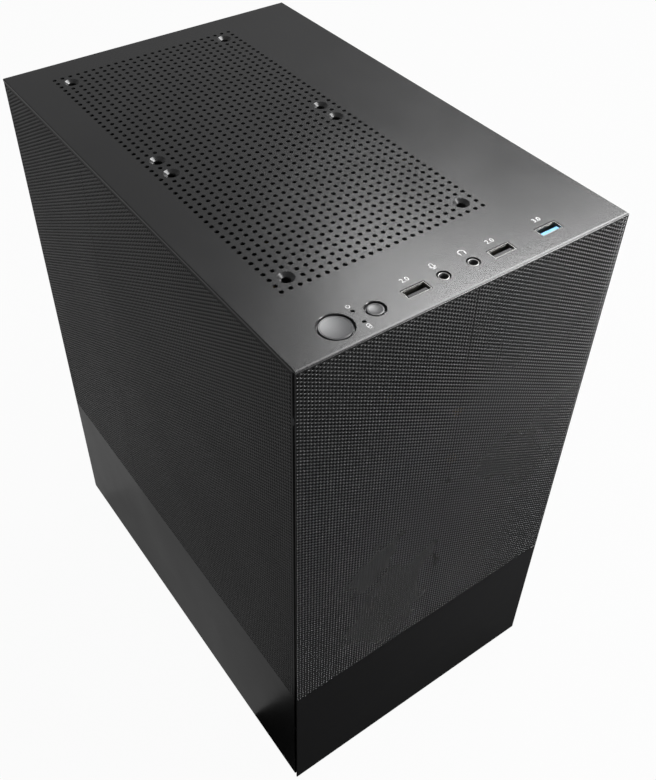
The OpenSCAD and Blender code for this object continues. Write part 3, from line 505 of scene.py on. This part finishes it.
def strokeMark(name, strokes, centre, width, turn=0.0):  # each stroke is a list of points, joined by a flat band
    bm = bmesh.new()
    for points, closed in strokes:
        verts = [bm.verts.new((x * mm, y * mm, 0)) for x, y in points]
        pairs = list(zip(verts, verts[1:])) + ([(verts[-1], verts[0])] if closed else [])
        sides = []
        for i, vert in enumerate(verts):
            before = verts[i - 1] if i or closed else vert
            after = verts[(i + 1) % len(verts)] if i + 1 < len(verts) or closed else vert
            along = (after.co - before.co).normalized()
            sides.append(Vector((-along.y, along.x, 0)) * width / 2 * mm)
        left = [bm.verts.new(v.co + s) for v, s in zip(verts, sides)]
        right = [bm.verts.new(v.co - s) for v, s in zip(verts, sides)]
        for a, b in pairs:
            i, j = verts.index(a), verts.index(b)
            bm.faces.new((left[j], left[i], right[i], right[j]))
        bmesh.ops.delete(bm, geom=verts, context="VERTS")
    bmesh.ops.recalc_face_normals(bm, faces=bm.faces)
    if bm.faces[:] and bm.faces[:][0].normal.z < 0:
        bmesh.ops.reverse_faces(bm, faces=bm.faces)
    lifted = bmesh.ops.extrude_face_region(bm, geom=bm.faces[:])["geom"]
    bmesh.ops.translate(bm, vec=(0, 0, prints["height"] * mm), verts=[v for v in lifted if isinstance(v, bmesh.types.BMVert)])
    bmesh.ops.rotate(bm, cent=(0, 0, 0), matrix=Matrix.Rotation(turn, 3, "Z"), verts=bm.verts)
    bmesh.ops.translate(bm, vec=Vector((*centre, case["top"] + 0.002)) * mm, verts=bm.verts)
    mesh = bpy.data.meshes.new(name)
    bm.to_mesh(mesh)
    bm.free()
    flatMark(name, mesh)


def arcPoints(radius, start, end, steps, centre=(0, 0)):
    turns = [radians(start + (end - start) * i / steps) for i in range(steps + 1)]
    return [(centre[0] + radius * cos(t), centre[1] + radius * sin(t)) for t in turns]


def capsule(halfWidth, halfHeight):
    return (arcPoints(halfWidth, 0, 180, 8, (0, halfHeight - halfWidth))
            + arcPoints(halfWidth, 180, 360, 8, (0, halfWidth - halfHeight)))[:-1]


signs = {
    "mic_sign": ([(capsule(0.85, 1.5), True), (arcPoints(1.7, 200, 340, 10, (0, 0.1)), False),
                  ([(0, -1.6), (0, -2.4)], False), ([(-0.9, -2.4), (0.9, -2.4)], False)], (-8.4, -135.6), 0.36),
    "headphone_sign": ([(arcPoints(1.75, 0, 180, 16), False), ([(-1.75, 0), (-1.75, -0.7)], False),
                        ([(1.75, 0), (1.75, -0.7)], False), ([(-1.45, -0.2), (-1.45, -1.7)], False),
                        ([(1.45, -0.2), (1.45, -1.7)], False)], (9.6, -135.9), 0.42),
    "power_sign": ([(arcPoints(0.95, 130, 410, 14), False), ([(0, 0.35), (0, 1.25)], False)], (-57.4, -137.2), 0.3),
    "drive_sign": ([(arcPoints(0.85, 0, 360, 16)[:-1], True), ([(-0.85, -0.1), (-0.85, -1.3)], False),
                    ([(0.85, -0.1), (0.85, -1.3)], False), (arcPoints(0.85, 180, 360, 10, (0, -1.3)), False)],
                   (-57.4, -151.9), 0.28)}
for name, (strokes, centre, width) in signs.items():
    strokeMark(name, strokes, centre, width)
print("printed marks built")


# moulded feet with a rounded shoulder
foot = {"x": 76.5, "y": (-134.75, 122.75), "radius": 12.0, "height": 14.0}


def buildFeet(spec):
    r, h = spec["radius"], spec["height"]
    profile = [(4.0, 12.8), (4.0, 4.6), (8.0, 4.4), (8.0, 1.9), (8.4, 1.5), (9.4, 1.45), (10.2, 1.7), (10.6, 2.4), (r - 0.25, h - 1.6),
               (r - 0.05, h - 0.7), (r - 0.4, h - 0.05), (5.0, h - 0.02)]
    for end, y in zip(("front", "rear"), spec["y"]):
        for side, x in (("left", -spec["x"]), ("right", spec["x"])):
            node = "foot_" + end + "_" + side
            bm = spunSolid(profile + [profile[0]], (x, y, 0), 56)
            keepSharp(finishPiece(node + "_moulding", bm, "chassis", "black_plastic", [node], True), 50)


buildFeet(foot)
print("feet built")


# the dust filter's woven net, its threads a real grid
net = {"x": 31.0, "y": (-21.75, 142.0), "half": 25.6, "z": 12.1, "pitch": 1.3, "thread": 0.32}


def buildNet(spec):
    middle = 57.75
    for side, x in (("left", -spec["x"]), ("right", spec["x"])):
        bm = bmesh.new()
        length, width = 156.0, 53.0
        nx, ny = int(width / spec["pitch"]), int(length / spec["pitch"])
        bmesh.ops.create_grid(bm, x_segments=nx, y_segments=ny, size=0.5)
        bmesh.ops.scale(bm, vec=(width * mm, length * mm, 1), verts=bm.verts)
        cells = bmesh.ops.inset_individual(bm, faces=bm.faces[:], thickness=spec["thread"] / 2 * mm)
        inner = [f for f in bm.faces if f not in set(cells["faces"])]
        bmesh.ops.delete(bm, geom=inner, context="FACES")
        bmesh.ops.translate(bm, vec=Vector((x, middle, spec["z"])) * mm, verts=bm.verts)
        finishPiece("filter_net_" + side, bm, "floor_filter", "filter_net", ["filter_net"], False, finishes["rubber"])


buildNet(net)
print("filter net built")


# CAD parts that keep their own shape and get their finish
def dressNodes():
    slots = {row["node"]: row["material_slot"] for row in frame["record"]["subparts"]}
    for name, node in nodes.items():
        # the top panel takes the lighter copy of the powder coat, painted light
        material = litTopCoat if name == "top_panel" else finishes.get(slots.get(name), finishes["black_steel"])
        if not node.material_slots:
            node.data.materials.append(material)
        for held in node.material_slots:
            held.material = material


dressNodes()
print("nodes dressed:", len(nodes))


# the studio
def addLamp(name, place, aim, size, power, colour=(1, 1, 1)):
    data = bpy.data.lights.new(name, "AREA")
    data.shape = "RECTANGLE"
    data.size, data.size_y = size
    data.energy = power
    data.color = colour
    lamp = bpy.data.objects.new(name, data)
    lamp.location = place
    lamp.rotation_euler = (Vector(aim) - Vector(place)).to_track_quat("-Z", "Y").to_euler()
    scene.collection.objects.link(lamp)


studio = {"floorTone": 0.15, "world": 0.25, "seenGlow": 0.96, "glossGlow": 0.2}


def buildStudio(spec):
    bm = bmesh.new()
    bmesh.ops.create_grid(bm, x_segments=1, y_segments=1, size=4.0)
    mesh = bpy.data.meshes.new("studioFloor")
    bm.to_mesh(mesh)
    bm.free()
    floor = bpy.data.objects.new("studioFloor", mesh)
    scene.collection.objects.link(floor)
    material = bpy.data.materials.new("studioPaper")
    material.use_nodes = True
    tree = material.node_tree
    paper = tree.nodes["Principled BSDF"]
    paper.inputs["Base Color"].default_value = (spec["floorTone"],) * 3 + (1,)
    paper.inputs["Roughness"].default_value = 0.9
    glow = tree.nodes.new("ShaderNodeEmission")
    glow.inputs["Strength"].default_value = 1.0
    path = tree.nodes.new("ShaderNodeLightPath")
    blend = tree.nodes.new("ShaderNodeMixShader")
    total = None
    for ray, share in (("Is Camera Ray", spec["seenGlow"]), ("Is Transmission Ray", spec["seenGlow"]),
                       ("Is Glossy Ray", spec["glossGlow"])):
        part = tree.nodes.new("ShaderNodeMath")
        part.operation = "MULTIPLY_ADD"
        part.inputs[1].default_value = share
        part.inputs[2].default_value = 0.0
        tree.links.new(path.outputs[ray], part.inputs[0])
        if total:
            tree.links.new(total, part.inputs[2])
        total = part.outputs[0]
    tree.links.new(total, blend.inputs[0])
    tree.links.new(paper.outputs[0], blend.inputs[1])
    tree.links.new(glow.outputs[0], blend.inputs[2])
    tree.links.new(blend.outputs[0], tree.nodes["Material Output"].inputs["Surface"])
    mesh.materials.append(material)

    world = bpy.data.worlds.new("studioWorld")
    world.use_nodes = True
    tree = world.node_tree
    sky = tree.nodes["Background"]
    sky.inputs["Color"].default_value = (1, 1, 1, 1)
    sky.inputs["Strength"].default_value = spec["world"]
    bright = tree.nodes.new("ShaderNodeBackground")
    bright.inputs["Strength"].default_value = 1.0
    path = tree.nodes.new("ShaderNodeLightPath")
    blend = tree.nodes.new("ShaderNodeMixShader")
    tree.links.new(path.outputs["Is Camera Ray"], blend.inputs[0])
    tree.links.new(sky.outputs[0], blend.inputs[1])
    tree.links.new(bright.outputs[0], blend.inputs[2])
    tree.links.new(blend.outputs[0], tree.nodes["World Output"].inputs["Surface"])
    scene.world = world

    addLamp("keyBox", (1.1, 0.2, 1.6), (1.1, 0.2, 0), (1.1, 1.1), 47)
    addLamp("fillBox", (-1.4, -1.6, 1.6), (0, 0, 0.25), (1.6, 1.2), 4)
    addLamp("frontBox", (0.8, -0.9, 0.72), (0.08, -0.15, 0.38), (0.3, 0.7), 28)
    addLamp("edgeBox", (1.22, 0.62, 1.6), (0.03, -0.15, 0.39), (1.2, 0.1), 7)
    addLamp("sparkBox", (1.12, -0.64, 1.6), (0.03, -0.15, 0.39), (0.4, 0.4), 7)
    # two black cards: one stands just inside the rear wall as painted shade, a dark sheet seen by the camera that keeps
    # the rear wall's openings dark from above; one lies in front of the case
    black = bpy.data.materials.new("flockAndPaintedShade")
    black.use_nodes = True
    tree = black.node_tree
    tree.nodes["Principled BSDF"].inputs["Base Color"].default_value = (0.002, 0.002, 0.002, 1)
    tree.nodes["Principled BSDF"].inputs["Roughness"].default_value = 1.0
    clear = tree.nodes.new("ShaderNodeBsdfTransparent")
    sided = tree.nodes.new("ShaderNodeNewGeometry")
    blend = tree.nodes.new("ShaderNodeMixShader")
    tree.links.new(sided.outputs["Backfacing"], blend.inputs[0])
    tree.links.new(tree.nodes["Principled BSDF"].outputs[0], blend.inputs[1])
    tree.links.new(clear.outputs[0], blend.inputs[2])
    tree.links.new(blend.outputs[0], tree.nodes["Material Output"].inputs["Surface"])
    for name, size, turn, place, seen in (("paintedShadeCard", (0.172, 0.272), pi / 2, (-0.0055, 0.143, 0.251), True),
                                          ("floorFlag", (0.62, 0.68), 0, (-0.02, -0.44, 0.0015), False)):
        flag = bmesh.new()
        bmesh.ops.create_grid(flag, x_segments=1, y_segments=1, size=0.5)
        bmesh.ops.scale(flag, vec=(*size, 1), verts=flag.verts)
        bmesh.ops.rotate(flag, cent=(0, 0, 0), matrix=Matrix.Rotation(turn, 3, "X"), verts=flag.verts)
        bmesh.ops.translate(flag, vec=place, verts=flag.verts)
        mesh = bpy.data.meshes.new(name)
        flag.to_mesh(mesh)
        flag.free()
        card = bpy.data.objects.new(name, mesh)
        scene.collection.objects.link(card)
        card.visible_camera = seen
        mesh.materials.append(black)
    scene.view_settings.view_transform = "Standard"


buildStudio(studio)
print("studio built")
